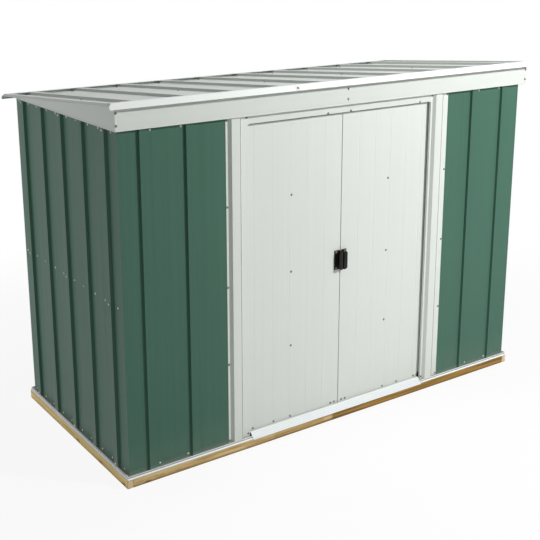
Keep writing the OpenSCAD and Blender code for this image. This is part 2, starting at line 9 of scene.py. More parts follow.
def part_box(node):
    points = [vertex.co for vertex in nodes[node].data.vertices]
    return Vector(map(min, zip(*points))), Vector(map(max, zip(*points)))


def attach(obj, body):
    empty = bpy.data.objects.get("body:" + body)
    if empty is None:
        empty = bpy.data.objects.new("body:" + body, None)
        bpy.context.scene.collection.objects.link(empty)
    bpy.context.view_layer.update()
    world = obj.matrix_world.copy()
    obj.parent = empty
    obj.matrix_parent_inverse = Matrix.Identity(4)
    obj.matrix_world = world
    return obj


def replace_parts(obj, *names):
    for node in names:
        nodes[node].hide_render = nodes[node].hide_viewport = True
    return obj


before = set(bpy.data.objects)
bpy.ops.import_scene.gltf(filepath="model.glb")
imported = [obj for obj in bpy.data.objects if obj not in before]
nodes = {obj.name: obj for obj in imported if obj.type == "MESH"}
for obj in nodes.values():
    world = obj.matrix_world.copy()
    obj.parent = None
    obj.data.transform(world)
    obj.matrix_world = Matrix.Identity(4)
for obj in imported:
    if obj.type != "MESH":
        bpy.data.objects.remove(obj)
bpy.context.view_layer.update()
scene = bpy.context.scene

# Directions: X along the front, Y from front to rear, Z up
X, Y, Z = Vector((1, 0, 0)), Vector((0, 1, 0)), Vector((0, 0, 1))
FRONT = Vector((0, -1, 0))

# Sizes in metres, and counts, that the boxes of the shed don't give
SHEET = 0.0012
SIDE_RIBS, REAR_RIBS, ROOF_RIBS = 5, 11, 10
RIB_PITCH = 0.2235
SIDE_RIB_FIRST = 0.116
ROOF_RIB_PITCH = 0.247
ROOF_DROP = 0.101
ROOF_OVER_WALL = 0.0043
RAIL_LEDGE = 0.013
JAMB_NARROW, JAMB_SLOPE, JAMB_FACE = 0.011, 0.012, 0.047
TRIM_SLANT = 0.0125
RAMP_WALL, RAMP_FLAT, RAMP_LIP = 0.002, 0.010, 0.004

# Planes of the shed, read from the boxes of its parts: flats of the walls, top of the rails and top of the
# walls
wall_lo, wall_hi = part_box("left_wall")
RIB = wall_hi.x - wall_lo.x - SHEET
X_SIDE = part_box("front_wall_right")[1].x
Y_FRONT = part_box("door_header")[0].y + SHEET
Y_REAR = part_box("rear_wall_centre")[1].y - RIB
DEPTH = Y_REAR - Y_FRONT
Z_RAIL = wall_lo.z
Z_TOP = wall_hi.z
ROOF_SLOPE = ROOF_DROP / DEPTH

# The slanted face of the right front trim at its joint: lower edge, upper edge and outward direction
trim_lo, trim_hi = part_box("roof_front_trim_right")
TRIM_TIP = trim_lo
TRIM_BROW = Vector((trim_lo.x, trim_lo.y + TRIM_SLANT, trim_hi.z))
TRIM_OUT = Vector((0, trim_lo.z - trim_hi.z, TRIM_SLANT)).normalized()


def roof_z(y):
    """Top of the roof's flats."""
    return Z_TOP + ROOF_DROP + ROOF_OVER_WALL - (y - Y_FRONT) * ROOF_SLOPE


# Materials
def srgb(r, g, b):
    """Colour as seen on a screen, 0 to 255, turned into the linear values that shaders use."""
    out = [c / 255 / 12.92 if c < 10 else ((c / 255 + 0.055) / 1.055) ** 2.4 for c in (r, g, b)]
    return (*out, 1.0)


def tinted(colour, k):
    """The colour made lighter or darker by a factor."""
    return (*[min(1.0, c * k) for c in colour[:3]], 1.0)


def stretched(axis, across, along):
    """A texture scale that differs along one axis."""
    scale = [across] * 3
    scale[axis] = along
    return scale


def add_node(tree, kind, **settings):
    """A new shader node with these settings."""
    node = tree.nodes.new(kind)
    for key, value in settings.items():
        setattr(node, key, value)
    return node


def put(tree, socket, value):
    """Links a socket to another node's output, or sets it to a plain value."""
    if isinstance(value, bpy.types.NodeSocket):
        tree.links.new(value, socket)
    else:
        socket.default_value = value


class Look:
    """A procedural material whose textures read the object's own coordinates, in metres."""

    def __init__(self, name, metal=0.0, specular=0.3):
        self.mat = bpy.data.materials.new(name)
        self.mat.use_nodes = True
        self.tree = self.mat.node_tree
        self.shader = self.tree.nodes["Principled BSDF"]
        self.shader.inputs["Metallic"].default_value = metal
        self.shader.inputs["Specular IOR Level"].default_value = specular
        self.place = self.add("ShaderNodeTexCoord").outputs["Object"]
        self.axes = self.split("ShaderNodeSeparateXYZ", self.place)

    def add(self, kind, **settings):
        return add_node(self.tree, kind, **settings)

    def put(self, socket, value):
        put(self.tree, socket, value)

    def split(self, kind, value):
        """The three parts of a vector or a colour."""
        node = self.add(kind)
        self.put(node.inputs[0], value)
        return node.outputs

    def along(self, axis):
        """The object's coordinate along an axis."""
        return self.axes[axis]

    def facing(self, axis):
        """How much the surface faces along an axis, either way."""
        geometry = self.add("ShaderNodeNewGeometry")
        normal = self.split("ShaderNodeSeparateXYZ", geometry.outputs["True Normal"])
        return self.math("ABSOLUTE", normal[axis])

    def texture(self, kind, scale):
        """A texture whose coordinates are scaled along each axis."""
        mapping = self.add("ShaderNodeMapping")
        self.put(mapping.inputs["Vector"], self.place)
        mapping.inputs["Scale"].default_value = scale
        node = self.add(kind)
        self.put(node.inputs["Vector"], mapping.outputs["Vector"])
        node.inputs["Scale"].default_value = 1.0
        return node

    def noise(self, scale, detail=3.0, rough=0.5, warp=0.0):
        node = self.texture("ShaderNodeTexNoise", scale)
        node.inputs["Detail"].default_value = detail
        node.inputs["Roughness"].default_value = rough
        node.inputs["Distortion"].default_value = warp
        return node.outputs["Fac"]

    def cells(self, scale, output="Color"):
        return self.texture("ShaderNodeTexVoronoi", scale).outputs[output]

    def math(self, operation, a, b=0.5):
        node = self.add("ShaderNodeMath", operation=operation)
        self.put(node.inputs[0], a)
        self.put(node.inputs[1], b)
        return node.outputs[0]

    def blend(self, a, share_a, b, share_b):
        """Two textures added in these shares."""
        return self.math("ADD", self.math("MULTIPLY", a, share_a), self.math("MULTIPLY", b, share_b))

    def span(self, value, low, high, at_low=0.0, at_high=1.0):
        """A value eased from one level to another between two limits."""
        node = self.add("ShaderNodeMapRange", interpolation_type="SMOOTHSTEP")
        for i, v in enumerate((value, low, high, at_low, at_high)):
            self.put(node.inputs[i], v)
        return node.outputs[0]

    def mix(self, share, a, b):
        """Colour a with this share of colour b."""
        node = self.add("ShaderNodeMix", data_type="RGBA")
        self.put(node.inputs["Factor"], share)
        self.put(node.inputs[6], a)
        self.put(node.inputs[7], b)
        return node.outputs[2]

    def bump(self, *heights, ease=0.0):
        """Heights are pairs of a texture and its depth in metres; ease is a radius for shading edges."""
        normal = None
        if ease:
            edge = self.add("ShaderNodeBevel", samples=4)
            edge.inputs["Radius"].default_value = ease
            normal = edge.outputs["Normal"]
        for height, depth in heights:
            node = self.add("ShaderNodeBump")
            node.inputs["Strength"].default_value = 1.0
            node.inputs["Distance"].default_value = depth
            self.put(node.inputs["Height"], height)
            if normal:
                self.put(node.inputs["Normal"], normal)
            normal = node.outputs["Normal"]
        self.put(self.shader.inputs["Normal"], normal)

    def finish(self, colour, rough):
        self.put(self.shader.inputs["Base Color"], colour)
        self.put(self.shader.inputs["Roughness"], rough)
        return self.mat


def painted(name, colour, dust_and_reflection_colour, vary, dust, rough, specular, roll_axis=2, roll_lines=70, foot=0.0):
    """Roll-formed steel with a baked coat: slow waves, faint lines along the axis it was rolled, orange peel
    and a little dust fading upwards, which with a pale dust colour also paints in reflected light; the
    share `foot` paints a reflection of the pale rails along the foot of a wall."""
    dust_and_reflection_low, dust_and_reflection_high, foot_band = 0.05, 0.24, 0.022
    look = Look(name, specular=specular)
    cloud = look.noise((1.4, 1.4, 0.7), detail=4.0)
    lines = look.noise(stretched(roll_axis, across=roll_lines, along=0.8))
    peel = look.noise((520, 520, 520), detail=2.0)
    waves = look.noise((5, 5, 0.9), detail=2.0)
    tone = look.blend(cloud, 0.6, lines, 0.4)
    coat = look.mix(look.span(tone, 0.32, 0.68), tinted(colour, 1 - vary), tinted(colour, 1 + vary))
    # Dust fading upwards from the foot; on the green its pale colour also makes it a painted reflection
    low = look.span(look.along(2), dust_and_reflection_low, dust_and_reflection_high, 1.0, 0.0)
    fading_dust_and_reflection = look.math("MULTIPLY", low, look.noise((24, 24, 9), detail=5.0, rough=0.65))
    specks = look.span(look.noise((150, 150, 110), detail=2.0, rough=0.6), 0.66, 0.76)
    dust_and_reflection = look.blend(fading_dust_and_reflection, dust, specks, dust * 0.4)
    coat = look.mix(dust_and_reflection, coat, dust_and_reflection_colour)
    # Painted reflection of the pale rails: the wall's foot lightened towards the pale dust colour
    if foot:
        foot_reflection = look.span(look.along(2), Z_RAIL, Z_RAIL + foot_band, foot, 0.0)
        coat = look.mix(foot_reflection, coat, dust_and_reflection_colour)
    look.bump((waves, 0.0012), (lines, 0.00012), (peel, 0.00006), ease=0.0008)
    return look.finish(coat, look.span(look.math("ADD", lines, dust_and_reflection), 0.3, 0.9, rough - 0.05, rough + 0.12))


def galvanised(name, colour, rough=0.4, metal=0.7, spangle=1.0, wave=0.0003, ease=0.0006):
    """Zinc-coated steel: spangle in soft flakes, dull streaks and a few scuffs."""
    look = Look(name, metal=metal, specular=0.4)
    flake = look.split("ShaderNodeSeparateColor", look.cells((130, 130, 130)))[0]
    streak = look.noise((9, 9, 40), detail=4.0, rough=0.6)
    tone = look.blend(flake, 0.45, streak, 0.55)
    dull, bright = tinted(colour, 1 - 0.14 * spangle), tinted(colour, 1 + 0.1 * spangle)
    coat = look.mix(look.span(tone, 0.2, 0.8), dull, bright)
    scuff = look.span(look.noise((60, 60, 14), detail=5.0, rough=0.7), 0.62, 0.72)
    coat = look.mix(look.math("MULTIPLY", scuff, 0.25 * spangle), coat, tinted(colour, 0.6))
    look.bump((look.noise((30, 30, 30)), wave), (flake, 0.00003 * spangle), ease=ease)
    return look.finish(coat, look.span(tone, 0.2, 0.8, rough + 0.1, rough - 0.06))


def pine(name, axis, light, dark, stretches=(), green=0.35):
    """Treated softwood with its grain along one axis: rings, fibres, streaks, knots, a greenish tint, painted
    shade darkening the foot, a painted highlight along the top edge and pale end grain. Stretches are lengths
    of another tone, each given by where it starts, its share and its colour."""
    foot_shade_low, foot_shade_high, top_highlight_low, top_highlight_high = 0.003, 0.016, 0.0385, 0.0415
    ring_count, blur = 7.0, 0.012
    look = Look(name, specular=0.25)
    height = look.along(2)
    growth = look.noise(stretched(axis, across=26.0, along=1.1), detail=4.0, rough=0.6, warp=0.8)
    rings = look.span(look.math("FRACT", look.math("MULTIPLY", growth, ring_count)), 0.55, 0.95)
    fibres = look.noise(stretched(axis, across=260.0, along=6.0), rough=0.6)
    streak = look.noise(stretched(axis, across=75.0, along=2.6), detail=2.0)
    from_knot = look.cells(stretched(axis, across=17.0, along=7.0), output="Distance")
    knot = look.span(from_knot, 0.05, 0.2, 1.0, 0.0)
    tint = look.span(look.noise((3.0, 3.0, 3.0)), 0.48, 0.7)
    colour = look.mix(look.math("MULTIPLY", rings, 0.55), light, dark)
    colour = look.mix(look.math("MULTIPLY", fibres, 0.35), colour, tinted(dark, 0.9))
    colour = look.mix(look.span(streak, 0.5, 0.68, 0.0, 0.5), colour, tinted(dark, 0.72))
    colour = look.mix(look.span(streak, 0.34, 0.48, 0.5, 0.0), colour, tinted(light, 1.12))
    colour = look.mix(look.math("MULTIPLY", tint, green), colour, srgb(150, 132, 72))
    for start, share, shade in stretches:
        beyond = look.span(look.along(axis), start - blur, start + blur, 0.0, share)
        grained = look.mix(look.span(streak, 0.36, 0.64), tinted(shade, 1.2), tinted(shade, 0.62))
        colour = look.mix(beyond, colour, grained)
    colour = look.mix(look.math("MULTIPLY", knot, 0.75), colour, srgb(104, 70, 32))
    # Painted shade darkens the foot of the timber, and a painted highlight lightens its top edge
    colour = look.mix(look.span(height, foot_shade_low, foot_shade_high, 0.75, 0.0), colour, tinted(dark, 0.45))
    colour = look.mix(look.span(height, top_highlight_low, top_highlight_high, 0.0, 0.8), colour, srgb(255, 232, 192))
    sawn = look.span(look.noise((120, 120, 120), rough=0.6), 0.35, 0.65)
    end_grain = look.mix(sawn, srgb(236, 214, 176), srgb(214, 184, 138))
    colour = look.mix(look.span(look.facing(axis), 0.55, 0.75), colour, end_grain)
    look.bump((rings, 0.0003), (fibres, 0.0004))
    return look.finish(colour, look.span(fibres, 0.2, 0.8, 0.62, 0.8))


def strand_board(name):
    """Pressed floor boards of overlapping wood strands, with a joint every 0.6 m."""
    boards_per_metre, half_joint = 1.667, 0.004
    look = Look(name, specular=0.2)
    long_strand = look.cells((34, 13, 60))
    cross_strand = look.cells((12, 30, 60))
    pick = look.span(look.noise((7, 7, 7)), 0.45, 0.55)
    strand = look.split("ShaderNodeSeparateColor", look.mix(pick, long_strand, cross_strand))
    colour = look.mix(strand[0], srgb(170, 128, 76), srgb(222, 188, 132))
    colour = look.mix(look.math("MULTIPLY", strand[1], 0.3), colour, srgb(140, 98, 54))
    board = look.math("FRACT", look.math("MULTIPLY", look.along(0), boards_per_metre))
    joint = look.math("ABSOLUTE", look.math("SUBTRACT", board, 0.5))
    colour = look.mix(look.span(joint, 0.0, half_joint, 1.0, 0.0), colour, srgb(60, 42, 26))
    look.bump((strand[0], 0.0006), (look.noise((220, 220, 220)), 0.0003))
    return look.finish(colour, look.span(strand[0], 0.0, 1.0, 0.58, 0.76))


def moulded(name, colour, rough=0.42, specular=0.4):
    """Moulded plastic or rubber with a fine spark-eroded grain and rubbed patches."""
    look = Look(name, specular=specular)
    grain = look.noise((1500, 1500, 1500), detail=2.0)
    rub = look.noise((60, 60, 25), detail=4.0, rough=0.6)
    coat = look.mix(look.span(rub, 0.35, 0.75), tinted(colour, 0.85), tinted(colour, 1.5))
    look.bump((grain, 0.0001), (rub, 0.0001))
    return look.finish(coat, look.span(rub, 0.3, 0.7, rough + 0.08, rough - 0.06))


GREEN = (0.0575, 0.1390, 0.1000, 1.0)
WHITE = srgb(216, 221, 215)

# The green's pale dust colour and its foot share paint in reflected light along the foot of the walls
green = painted(
    "green_coated_steel", GREEN, srgb(176, 180, 168),
    vary=0.06, dust=0.12, rough=0.4, specular=0.17, foot=0.25)
white = painted(
    "white_coated_steel", WHITE, srgb(196, 198, 186),
    vary=0.018, dust=0.25, rough=0.46, specular=0.26)
front_white = painted(
    "white_fascia_steel", tinted(WHITE, 0.957), srgb(190, 192, 180),
    vary=0.018, dust=0.25, rough=0.46, specular=0.26, roll_axis=0)
roofing = painted(
    "white_roof_steel", srgb(209, 214, 209), srgb(190, 190, 178),
    vary=0.025, dust=0.3, rough=0.5, specular=0.24, roll_axis=1, roll_lines=60)
# Whiter than the other white steel: painted light that the trims' upturned faces catch
trims = painted(
    "lit_white_trim_steel", srgb(232, 236, 232), srgb(200, 200, 188),
    vary=0.015, dust=0.2, rough=0.42, specular=0.3, roll_axis=0, roll_lines=60)
# Whiter than the doors' white: painted light on the threshold's upturned slope
lit_ramp_white = painted(
    "lit_white_ramp_steel", srgb(242, 246, 247), srgb(214, 216, 210),
    vary=0.01, dust=0.08, rough=0.34, specular=0.4, roll_axis=0, roll_lines=90)
# A greyer copy of the ramp's white: painted shade that draws the ridges as lines
shaded_ridge_white = painted(
    "shaded_white_ridge_steel", srgb(227, 232, 233), srgb(200, 202, 196),
    vary=0.01, dust=0.08, rough=0.4, specular=0.3, roll_axis=0, roll_lines=90)
zinc = galvanised("galvanised_steel", srgb(176, 184, 188))
# Two painted copies of the rails' zinc: grey as painted shade on the rails' faces, near white as a painted
# highlight on their rolled edge and sloped foot
shaded_rail_zinc = galvanised(
    "galvanised_rail", srgb(150, 157, 155),
    rough=0.36, metal=0.1, spangle=0.25, wave=0.00003, ease=0.0)
lit_rail_zinc = galvanised(
    "lit_galvanised_rail", srgb(250, 252, 250),
    rough=0.34, metal=0.0, spangle=0.15, wave=0.00003, ease=0.0)
dull_screw = galvanised("passivated_screw", srgb(140, 134, 108), rough=0.42, metal=0.55)
bright_screw = galvanised("bright_screw", srgb(226, 224, 206), rough=0.4, metal=0.3)
grey_washer = moulded("grey_washer", srgb(122, 122, 112), rough=0.55)
pale_washer = moulded("pale_washer", srgb(178, 180, 166), rough=0.55)
# Dark strips that paint shade lines: along the jambs' raised faces and under the header
grey_shade_line = moulded("grey_shade_line", srgb(112, 114, 106), rough=0.6, specular=0.1)
dark_shade_line = moulded("dark_shade_line", srgb(84, 86, 80), rough=0.6, specular=0.1)
black = moulded("black_plastic", srgb(28, 27, 25), specular=0.17)
FRONT_STRETCHES = [
    (-0.42, 0.4, srgb(176, 138, 66)),
    (-0.115, 0.6, srgb(226, 196, 150)),
    (-0.06, 0.9, srgb(146, 108, 34)),
    (0.9, 0.5, srgb(158, 122, 64)),
]
pine_x = pine("pine_along_x", 0, srgb(222, 196, 142), srgb(172, 134, 74), FRONT_STRETCHES)
# Paler than the front and rear timbers' pine: painted light for the sides, which the lamps light less
pine_y = pine("pine_along_y", 1, srgb(255, 231, 166), srgb(232, 186, 100), green=0.1)
boards = strand_board("strand_board")

# The finish of each CAD node
FINISHES = [
    (green, ["front_wall_left", "front_wall_right", "left_wall", "right_wall"]),
    (green, ["rear_wall_left", "rear_wall_centre", "rear_wall_right"]),
    (white, ["door_jamb_left", "door_jamb_right", "gable_left", "gable_right"]),
    (white, ["left_door_leaf", "right_door_leaf"]),
    (front_white, ["door_header", "fascia_left", "fascia_right"]),
    (roofing, ["roof_panel_left", "roof_panel_centre", "roof_panel_right"]),
    (trims, ["roof_front_trim_left", "roof_front_trim_right", "roof_rear_trim"]),
    (lit_ramp_white, ["threshold_ramp"]),
    (shaded_rail_zinc, ["floor_rail_front", "floor_rail_rear", "floor_rail_left", "floor_rail_right"]),
    (zinc, ["mid_brace_left", "mid_brace_right", "mid_brace_rear", "rear_top_channel"]),
    (zinc, ["door_track", "roof_beam", "left_door_braces", "right_door_braces"]),
    (black, ["left_door_runners", "right_door_runners", "left_door_handle", "right_door_handle"]),
    (boards, ["floor_deck"]),
    (pine_y, ["base_joists", "base_side_timber_left", "base_side_timber_right"]),
    (pine_x, ["base_front_timber", "base_rear_timber"]),
]


def dress(name, look):
    """Gives a CAD node its finish, in each of its material slots."""
    mesh = nodes[name].data
    if not mesh.materials:
        mesh.materials.append(look)
    for i in range(len(mesh.materials)):
        nodes[name].material_slots[i].material = look


for look, names in FINISHES:
    for name in names:
        dress(name, look)


# Making pieces
def shade(mesh, sharp_angle):
    """Smooth shading, with the folds above an angle in degrees kept sharp."""
    for poly in mesh.polygons:
        poly.use_smooth = True
    mesh.set_sharp_from_angle(angle=math.radians(sharp_angle))


def piece(name, mesh, body, looks):
    """A visible piece that rides on a body, with these materials in its slots."""
    obj = bpy.data.objects.new(name, mesh)
    scene.collection.objects.link(obj)
    for look in looks:
        mesh.materials.append(look)
    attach(obj, body)
    return obj


def solid(name, bm, body, look):
    """A piece made from a closed bmesh."""
    bmesh.ops.recalc_face_normals(bm, faces=bm.faces)
    mesh = bpy.data.meshes.new(name)
    bm.to_mesh(mesh)
    bm.free()
    shade(mesh, sharp_angle=40)
    return piece(name, mesh, body, [look])


def sweep(bm, profile, path, up):
    """Sweeps a closed profile of (side, up) offsets through places, each with its own side direction."""
    rings = [[bm.verts.new(p + side * a + up * b) for a, b in profile] for p, side in path]
    n = len(profile)
    for near, far in zip(rings, rings[1:]):
        for i in range(n):
            j = (i + 1) % n
            bm.faces.new((near[i], near[j], far[j], far[i]))
    bm.faces.new(rings[0])
    bm.faces.new(list(reversed(rings[-1])))


def strips(name, body, look, runs):
    """One piece of straight runs, each given by its profile, start, end, side direction and up direction."""
    bm = bmesh.new()
    for profile, start, end, side, up in runs:
        sweep(bm, profile, [(start, side), (end, side)], up)
    solid(name, bm, body, look)


def bead(width, proud, back=0.0008):
    """Half-round profile: side offsets from -back to proud, up offsets over the width."""
    steps = 6
    arc = [(proud * math.sin(math.pi * i / steps), width * i / steps) for i in range(1, steps)]
    return [(-back, 0.0), (0.0, 0.0), *arc, (0.0, width), (-back, width)]


# Base timbers and door handles, in the place of their plain solids
def timber(node, axis, look, seed):
    """A sawn timber: eased edges and a slightly uneven surface."""
    ease, step, end_room, uneven = 0.0035, 0.09, 0.01, 0.0006
    lo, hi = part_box(node)
    middle = (lo + hi) / 2
    length = hi[axis] - lo[axis]
    rng = random.Random(seed)
    bm = bmesh.new()
    bmesh.ops.create_cube(bm, size=1.0)
    bmesh.ops.scale(bm, vec=hi - lo, verts=bm.verts)
    bmesh.ops.translate(bm, vec=middle, verts=bm.verts)
    bmesh.ops.bevel(bm, geom=list(bm.edges), offset=ease, segments=3, profile=0.5, affect="EDGES")
    steps = int(length / step)
    for i in range(1, steps):
        cut = Vector(lo)
        cut[axis] = lo[axis] + end_room + (length - 2 * end_room) * i / steps
        geom = [*bm.verts, *bm.edges, *bm.faces]
        bmesh.ops.bisect_plane(bm, geom=geom, plane_co=cut, plane_no=(X, Y, Z)[axis])
    others = [a for a in range(3) if a != axis]
    wave = {}
    for v in bm.verts:
        key = round(v.co[axis], 3)
        if key not in wave:
            wave[key] = (rng.uniform(0.0, uneven), rng.uniform(0.0, uneven))
        for a, w in zip(others, wave[key]):
            v.co[a] += w if v.co[a] < middle[a] else -w
    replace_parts(solid(node + "_sawn", bm, "shed", look), node)


def handle(node, body):
    """The moulded handle of a door, with eased edges."""
    ease, weld, flat_angle, edge_angle = 0.0009, 0.00002, 0.02, 0.5
    bm = bmesh.new()
    bm.from_mesh(nodes[node].data)
    bmesh.ops.remove_doubles(bm, verts=bm.verts, dist=weld)
    bmesh.ops.dissolve_limit(bm, angle_limit=flat_angle, verts=bm.verts, edges=bm.edges)
    sharp = [e for e in bm.edges if len(e.link_faces) == 2 and e.calc_face_angle(0) > edge_angle]
    bmesh.ops.bevel(
        bm, geom=sharp, offset=ease, segments=3, profile=0.5, affect="EDGES", clamp_overlap=True)
    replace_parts(solid(node + "_moulded", bm, body, black), node)


timber("base_side_timber_left", 1, pine_y, 3)
timber("base_side_timber_right", 1, pine_y, 5)
timber("base_front_timber", 0, pine_x, 7)
timber("base_rear_timber", 0, pine_x, 11)
handle("left_door_handle", "left_door")
handle("right_door_handle", "right_door")


# Hems, laps and folds of the sheet, and dark strips and wedges of painted shade
def fascia_hems():
    """Folded hems along the foot of the two fascia halves and up their outer ends."""
    half_joint, end_inset, end_foot, end_head = 0.0006, 0.0095, 0.006, 0.09
    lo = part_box("fascia_left")[0]
    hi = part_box("fascia_right")[1]
    runs = []
    for x0, x1 in ((lo.x, -half_joint), (half_joint, hi.x)):
        start, end = Vector((x0, lo.y, Z_TOP)), Vector((x1, lo.y, Z_TOP))
        runs.append((bead(width=0.0055, proud=0.0016), start, end, -Y, Z))
    for s in (-1, 1):
        x = s * (hi.x - end_inset)
        foot, head = Vector((x, lo.y, Z_TOP + end_foot)), Vector((x, lo.y, Z_TOP + end_head))
        runs.append((bead(width=0.0105, proud=0.0012), foot, head, -Y, X * s))
    strips("fascia_hems", "shed", front_white, runs)


def gable_hems():
    """Folded hem along the foot of each gable."""
    runs = []
    for node, s in (("gable_left", -1), ("gable_right", 1)):
        lo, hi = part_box(node)
        x = lo.x if s < 0 else hi.x
        start, end = Vector((x, lo.y, Z_TOP)), Vector((x, hi.y, Z_TOP))
        runs.append((bead(width=0.006, proud=0.0018), start, end, X * s, Z))
    strips("gable_hems", "shed", white, runs)


def roof_laps():
    """Laps where the roof sheets join, clear of the trims."""
    end_gap = 0.045
    lap = [(-0.004, 0.0), (-0.004, 0.0011), (0.0, 0.0014), (0.016, 0.0014), (0.0172, 0.0009), (0.0172, 0.0)]
    lo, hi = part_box("roof_panel_centre")
    y0, y1 = lo.y + end_gap, hi.y - end_gap
    runs = []
    for x in (-hi.x, hi.x):
        runs.append((lap, Vector((x, y0, roof_z(y0))), Vector((x, y1, roof_z(y1))), -X, Z))
    strips("roof_laps", "shed", roofing, runs)


def jamb_edges():
    """Grey bead along the right edge of each jamb's raised face, whose dark grey paints the shade line there.
    """
    width, end_gap = 0.0024, 0.004
    runs = []
    for node in ("door_jamb_left", "door_jamb_right"):
        lo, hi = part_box(node)
        x = lo.x + JAMB_NARROW + JAMB_SLOPE + JAMB_FACE - width
        foot, head = Vector((x, lo.y, lo.z + end_gap)), Vector((x, lo.y, hi.z - end_gap))
        runs.append((bead(width, proud=0.0009, back=0.0004), foot, head, -Y, X))
    strips("jamb_edges", "shed", grey_shade_line, runs)


def header_shade_line():
    """Dark strip along the header's lower edge, which paints the shadow of the gap beneath it."""
    end_gap, below = 0.008, 0.0008
    lo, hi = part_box("door_header")
    z = lo.z - below
    start, end = Vector((lo.x + end_gap, lo.y, z)), Vector((hi.x - end_gap, lo.y, z))
    runs = [(bead(width=0.0028, proud=0.0009, back=0.0004), start, end, -Y, Z)]
    strips("header_shade_line", "shed", dark_shade_line, runs)


def trim_lap():
    """Cover strip where the two front trims join, along the slant of their section."""
    low_share, high_share = 0.03, 0.98
    cover = [
        (0.0, 0.0004), (0.0004, 0.0011), (0.0190, 0.0011),
        (0.0196, 0.0004), (0.0196, -0.0003), (0.0, -0.0003),
    ]
    start, end = TRIM_TIP.lerp(TRIM_BROW, low_share), TRIM_TIP.lerp(TRIM_BROW, high_share)
    strips("trim_lap", "shed", trims, [(cover, start, end, X, TRIM_OUT)])


def door_edges(body, s):
    """Turned edges of a door at its meeting line and along its bottom; s is the side it opens to."""
    lip_proud, lip_back, lip_gap, fold_below = 0.0019, 0.004, 0.004, 0.0046
    lip = [(0.0, 0.0), (0.0021, 0.0), (0.0021, 0.0060), (0.0, 0.0060)]
    fold = [
        (0.0, 0.0), (0.0004, -0.0002), (0.0012, 0.0004),
        (0.0014, 0.0020), (0.0012, 0.0066), (0.0, 0.0072),
    ]
    lo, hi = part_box(body + "_leaf")
    inner, outer = (hi.x, lo.x) if s < 0 else (lo.x, hi.x)
    lip_x, lip_y, fold_z = inner - s * lip_proud, lo.y + lip_back, lo.z - fold_below
    lip_foot, lip_head = Vector((lip_x, lip_y, lo.z + lip_gap)), Vector((lip_x, lip_y, hi.z - lip_gap))
    fold_start, fold_end = Vector((inner, lo.y, fold_z)), Vector((outer, lo.y, fold_z))
    runs = [(lip, lip_foot, lip_head, X * s, Y), (fold, fold_start, fold_end, -Y, Z)]
    strips(body + "_edges", body, white, runs)


def door_guide():
    """Guide block at the right door's foot, by the doorway's edge."""
    inset, foot, head = 0.0045, 0.002, 0.030
    block = [
        (0.0, 0.0), (0.0022, 0.0), (0.0028, 0.0006),
        (0.0028, 0.0124), (0.0022, 0.013), (0.0, 0.013),
    ]
    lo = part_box("right_door_leaf")[0]
    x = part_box("door_header")[1].x - inset
    start, end = Vector((x, lo.y, lo.z + foot)), Vector((x, lo.y, lo.z + head))
    strips("right_door_guide", "right_door", black, [(block, start, end, -Y, X)])


def rail_folds():
    """Rolled edge and sloped foot of the floor rails, all round from end to end of the threshold."""
    ramp_gap, roll_drop, foot_rise = 0.0005, 0.0014, 0.0054
    back, top_out, edge_in, edge_rise = 0.0004, 0.0005, 0.0003, 0.0006
    z_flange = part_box("base_front_timber")[1].z + SHEET
    z_foot = z_flange + foot_rise
    edge = Y_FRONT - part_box("floor_rail_front")[0].y - edge_in
    x_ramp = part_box("threshold_ramp")[1].x + ramp_gap
    corners = [
        (x_ramp, Y_FRONT, -Y),
        (X_SIDE, Y_FRONT, X - Y),
        (X_SIDE, Y_REAR, X + Y),
        (-X_SIDE, Y_REAR, Y - X),
        (-X_SIDE, Y_FRONT, -X - Y),
        (-x_ramp, Y_FRONT, -Y),
    ]
    path = [(Vector((x, y, 0)), side) for x, y, side in corners]
    roll = bead(width=0.0037, proud=0.0036, back=back)
    rolled = [(RAIL_LEDGE + a, Z_RAIL - roll_drop + b) for a, b in roll]
    foot = [
        (RAIL_LEDGE - back, z_flange),
        (edge, z_flange),
        (edge, z_flange + edge_rise),
        (RAIL_LEDGE + top_out, z_foot),
        (RAIL_LEDGE - back, z_foot),
    ]
    bm = bmesh.new()
    sweep(bm, rolled, path, Z)
    sweep(bm, foot, path, Z)
    # The rolled edge and foot wear the near-white zinc, a painted highlight
    solid("rail_folds", bm, "shed", lit_rail_zinc)


def ramp_ridges():
    """Tread ridges along the slope of the threshold; first and pitch are shares of the slope's length."""
    count, first, pitch, end_gap = 4, 0.1, 0.22, 0.002
    lo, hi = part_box("threshold_ramp")
    foot = Vector((0, lo.y, lo.z + RAMP_LIP + RAMP_WALL))
    rise = Vector((0, hi.y - RAMP_FLAT, hi.z)) - foot
    slope = rise.normalized()
    out = X.cross(slope)
    runs = []
    for i in range(count):
        line = foot + rise * (first + pitch * i)
        start, end = line + X * (lo.x + end_gap), line + X * (hi.x - end_gap)
        runs.append((bead(width=0.0034, proud=0.0014), start, end, out, slope))
    # The ridges' greyer white is painted shade
    strips("ramp_ridges", "shed", shaded_ridge_white, runs)


def ramp_end_shades():
    """Black wedges in the open ends of the threshold, shaped as the room under its slope: painted shade of
    its hollow inside.
    """
    clear, flat_clear, lean, shade_inner, shade_outer = 0.0004, 0.0006, 0.93, 0.014, 0.001
    lo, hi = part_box("threshold_ramp")
    corner = Vector((0, hi.y - RAMP_WALL - clear, lo.z + RAMP_LIP + clear))
    top = hi.z - RAMP_WALL - clear - corner.z
    flat = RAMP_WALL - RAMP_FLAT + flat_clear
    wedge = [(0.0, 0.0), (flat - top * lean, 0.0), (flat, top), (0.0, top)]
    runs = []
    for x0, x1 in ((lo.x + shade_outer, lo.x + shade_inner), (hi.x - shade_inner, hi.x - shade_outer)):
        runs.append((wedge, corner + X * x0, corner + X * x1, Y, Z))
    strips("ramp_end_shades", "shed", black, runs)


